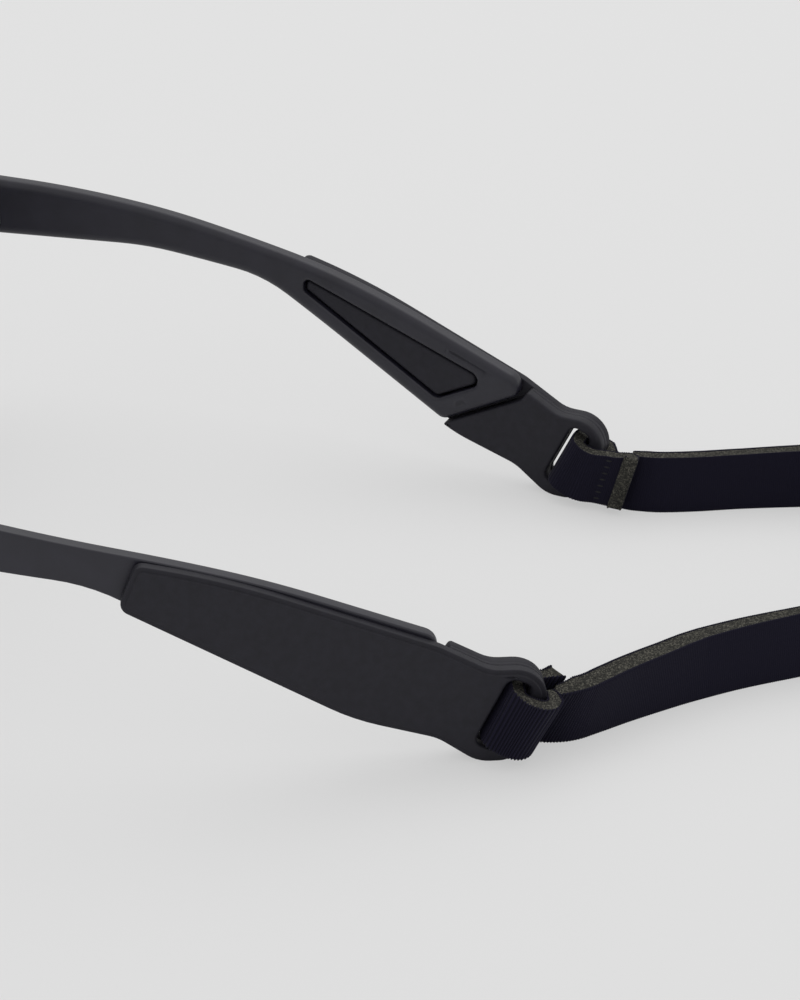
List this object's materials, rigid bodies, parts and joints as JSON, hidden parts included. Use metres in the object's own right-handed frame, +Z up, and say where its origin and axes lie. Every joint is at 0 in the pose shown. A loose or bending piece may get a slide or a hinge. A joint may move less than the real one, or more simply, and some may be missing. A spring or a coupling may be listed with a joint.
{
  "type": "sports sunglasses",
  "caption": "Wraparound half-rim sports sunglasses with a one-piece smoke lens, folding arms, clip-on strap adapters and a knit elastic head strap",
  "frame": {"origin": "Middle of the glasses, midway between the front of the lens and the rear of the arm tips, on the table that the lens's lower edge and the tips rest on", "axes": "+X to the wearer's left, +Y from the lens back to the arm tips and strap, +Z up"},
  "size_m": [0.1462, 0.2604, 0.057],
  "materials": {
    "frame_nylon": "satin injection-moulded nylon, fine grain",
    "smoke_lens": "dark smoke polycarbonate, hard-coated gloss",
    "soft_rubber": "matte moulded elastomer",
    "adapter_rubber": "matte mottled thermoplastic rubber",
    "hinge_steel": "dark nickel-plated stainless steel",
    "knit_strap": "fine-ribbed knit face bonded to speckled foam",
    "thread": "matte polyester sewing thread"
  },
  "bodies": {
    "front": {"front_frame": "frame_nylon", "shield_lens": "smoke_lens", "nose_bridge": "frame_nylon", "nose_pad_left": "soft_rubber", "nose_pad_right": "soft_rubber", "front_leaf_left": "hinge_steel", "front_leaf_right": "hinge_steel", "front_rivets": "hinge_steel", "hinge_screw_left": "hinge_steel", "hinge_screw_right": "hinge_steel", "strap_band": "knit_strap"},
    "arm_left": {"temple_left": "frame_nylon", "temple_leaf_left": "hinge_steel", "temple_rivets_left": "hinge_steel", "adapter_left": "adapter_rubber", "strap_loop_left": "knit_strap", "strap_seam_left": "thread"},
    "arm_right": {"temple_right": "frame_nylon", "temple_leaf_right": "hinge_steel", "temple_rivets_right": "hinge_steel", "adapter_right": "adapter_rubber", "strap_loop_right": "knit_strap", "strap_seam_right": "thread"}
  },
  "joints": [
    {"name": "arm_left_fold", "type": "hinge", "parent": "front", "child": "arm_left", "pos_m": [0.0686, -0.05258, 0.048], "axis": [0, 0, 1], "range_deg": [0, 82], "deforming": ["strap_band"]},
    {"name": "arm_right_fold", "type": "hinge", "parent": "front", "child": "arm_right", "pos_m": [-0.0686, -0.05258, 0.048], "axis": [0, 0, -1], "range_deg": [0, 75], "deforming": ["strap_band"]}
  ]
}
